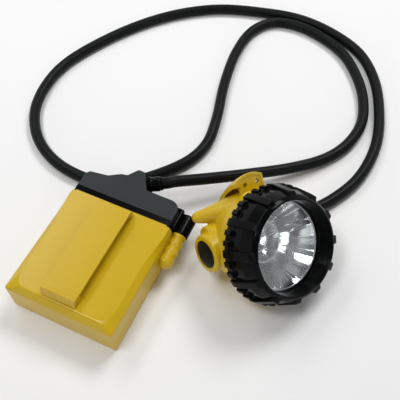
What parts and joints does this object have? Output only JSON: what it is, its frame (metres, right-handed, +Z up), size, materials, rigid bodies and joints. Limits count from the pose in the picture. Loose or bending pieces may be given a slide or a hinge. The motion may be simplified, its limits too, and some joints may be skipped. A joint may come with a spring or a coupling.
{
  "type": "miner's cap lamp",
  "caption": "Miner's cap lamp: yellow belt battery pack with belt loop and black end cover, joined by a rubber cord to a lamp head with ribbed bezel, lens, hook and side switch.",
  "frame": {"origin": "centre of the battery case's underside, on the surface that the pack lies on", "axes": "+X across the pack towards the lamp head, +Y along the pack towards its black cover, +Z up"},
  "size_m": [0.2835, 0.3539, 0.0718],
  "materials": {
    "yellow_plastic": "satin moulded",
    "black_plastic": "satin moulded",
    "black_rubber": "satin",
    "stainless_steel": "machined",
    "brass": "machined",
    "nickel_strip": "rolled",
    "aluminium": "cast",
    "bright_coating": "bright metal coating on plastic",
    "clear_plastic": "clear polished",
    "grey_foam": "foam",
    "cell_wrap": "shrink wrap",
    "circuit_board": "solder mask",
    "white_board": "solder mask",
    "phosphor": "phosphor"
  },
  "bodies": {
    "lamp": {"battery_case": "yellow_plastic", "battery_cord_collar": "brass", "battery_cord_tail": "black_rubber", "battery_cover": "black_plastic", "battery_gland": "black_plastic", "belt_loop": "yellow_plastic", "bezel_seal": "black_rubber", "bus_strip_front": "nickel_strip", "bus_strip_rear": "nickel_strip", "cell_1": "cell_wrap", "cell_2": "cell_wrap", "cell_3": "cell_wrap", "cell_4": "cell_wrap", "cell_pad_front": "grey_foam", "cell_pad_lower": "grey_foam", "cell_pad_rear": "grey_foam", "cell_pad_upper": "grey_foam", "cord": "black_rubber", "cover_lock_screw": "stainless_steel", "cover_seal": "black_rubber", "driver_board": "circuit_board", "head_cord_collar": "brass", "head_cord_tail": "black_rubber", "head_gland": "black_plastic", "heat_sink": "aluminium", "lamp_housing": "yellow_plastic", "led_board": "white_board", "led_emitter": "phosphor", "lock_insert": "brass", "protection_board": "circuit_board", "reflector": "bright_coating", "switch_body": "black_plastic", "switch_carrier": "black_plastic"},
    "window": {"lens": "clear_plastic", "lens_gasket": "black_rubber"},
    "bezel": {"bezel_ring": "black_plastic"},
    "button": {"switch_button": "black_rubber"}
  },
  "joints": [
    {"name": "window_advance", "type": "slide", "parent": "lamp", "child": "window", "axis": [0.7071, -0.2435, 0.6639], "range_m": [0, 0.005]},
    {"name": "bezel_turn", "type": "hinge", "parent": "window", "child": "bezel", "pos_m": [0.12255, 0.05214, 0.0465], "axis": [0.7071, -0.2435, 0.6639], "range_deg": [0, 900]},
    {"name": "button_press", "type": "slide", "parent": "lamp", "child": "button", "axis": [0.5122, 0.8236, -0.2435], "range_m": [0, 0.0015], "stiffness_N_per_m": 2500}
  ],
  "couplings": [
    {"joint": "window_advance", "follows": "bezel_turn", "m_per_rad": 0.00031831}
  ]
}
